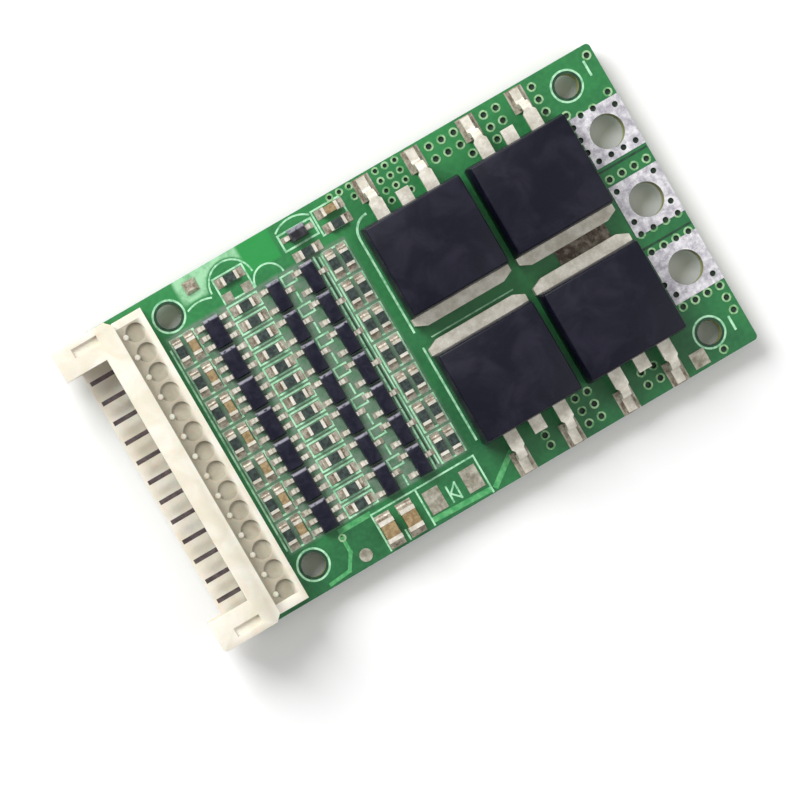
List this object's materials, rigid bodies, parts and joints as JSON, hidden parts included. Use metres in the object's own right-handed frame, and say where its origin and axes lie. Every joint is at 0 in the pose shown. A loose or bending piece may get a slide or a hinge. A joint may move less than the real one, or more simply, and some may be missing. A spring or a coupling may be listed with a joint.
{
  "type": "battery management board",
  "caption": "Flat circuit board with power transistors, rows of cell monitor chips, a right-angle wire header on one short edge and drilled power lands on the other.",
  "frame": {"origin": "centre of the four mounting holes, on the underside of the circuit board", "axes": "+X towards the edge with the power lands, -X towards the wire header, +Z out of the component side"},
  "size_m": [0.0553, 0.0306, 0.0074],
  "materials": {
    "solder_mask": "glossy green solder mask with pale printed lines",
    "tinned_copper": "dull hot-air-levelled tin",
    "solder": "bright uneven solder",
    "plated_leads": "matt tin plating on formed leads",
    "transistor_moulding": "fine-grained black moulding compound",
    "chip_moulding": "fine-grained black moulding compound",
    "header_plastic": "cream moulded nylon, slightly translucent",
    "header_pins": "tin-plated square wire",
    "resistor_ceramic": "dark glazed top on a white ceramic chip",
    "capacitor_ceramic": "matt brown fired ceramic",
    "diode_moulding": "black moulding compound"
  },
  "bodies": {
    "root": {"circuit_board": "solder_mask", "upper_power_land": "tinned_copper", "middle_power_land": "tinned_copper", "lower_power_land": "tinned_copper", "tinned_pads": "tinned_copper", "header_housing": "header_plastic", "header_contacts": "header_pins", "header_solder": "solder", "lead_solder": "solder", "chip_solder": "solder", "power_fet_1_body": "transistor_moulding", "power_fet_1_drain_tab": "plated_leads", "power_fet_1_gate_lead": "plated_leads", "power_fet_1_source_lead": "plated_leads", "power_fet_2_body": "transistor_moulding", "power_fet_2_drain_tab": "plated_leads", "power_fet_2_gate_lead": "plated_leads", "power_fet_2_source_lead": "plated_leads", "power_fet_3_body": "transistor_moulding", "power_fet_3_drain_tab": "plated_leads", "power_fet_3_gate_lead": "plated_leads", "power_fet_3_source_lead": "plated_leads", "power_fet_4_body": "transistor_moulding", "power_fet_4_drain_tab": "plated_leads", "power_fet_4_gate_lead": "plated_leads", "power_fet_4_source_lead": "plated_leads", "monitor_chip_1": "chip_moulding", "monitor_chip_2": "chip_moulding", "monitor_chip_3": "chip_moulding", "monitor_chip_4": "chip_moulding", "monitor_chip_5": "chip_moulding", "monitor_chip_6": "chip_moulding", "monitor_chip_7": "chip_moulding", "monitor_leads_1": "plated_leads", "monitor_leads_2": "plated_leads", "monitor_leads_3": "plated_leads", "monitor_leads_4": "plated_leads", "monitor_leads_5": "plated_leads", "monitor_leads_6": "plated_leads", "monitor_leads_7": "plated_leads", "switch_transistor_bodies": "chip_moulding", "switch_transistor_leads": "plated_leads", "sense_transistor_bodies": "chip_moulding", "sense_transistor_leads": "plated_leads", "supply_resistor_bodies": "resistor_ceramic", "supply_resistor_terminals": "plated_leads", "filter_capacitor_bodies": "capacitor_ceramic", "filter_capacitor_terminals": "plated_leads", "bleed_resistor_bodies": "resistor_ceramic", "bleed_resistor_terminals": "plated_leads", "gate_resistor_bodies": "resistor_ceramic", "gate_resistor_terminals": "plated_leads", "trim_resistor_bodies": "resistor_ceramic", "trim_resistor_terminals": "plated_leads", "bulk_capacitor_bodies": "capacitor_ceramic", "bulk_capacitor_terminals": "plated_leads", "clamp_diode_body": "diode_moulding", "clamp_diode_leads": "plated_leads"}
  },
  "joints": []
}
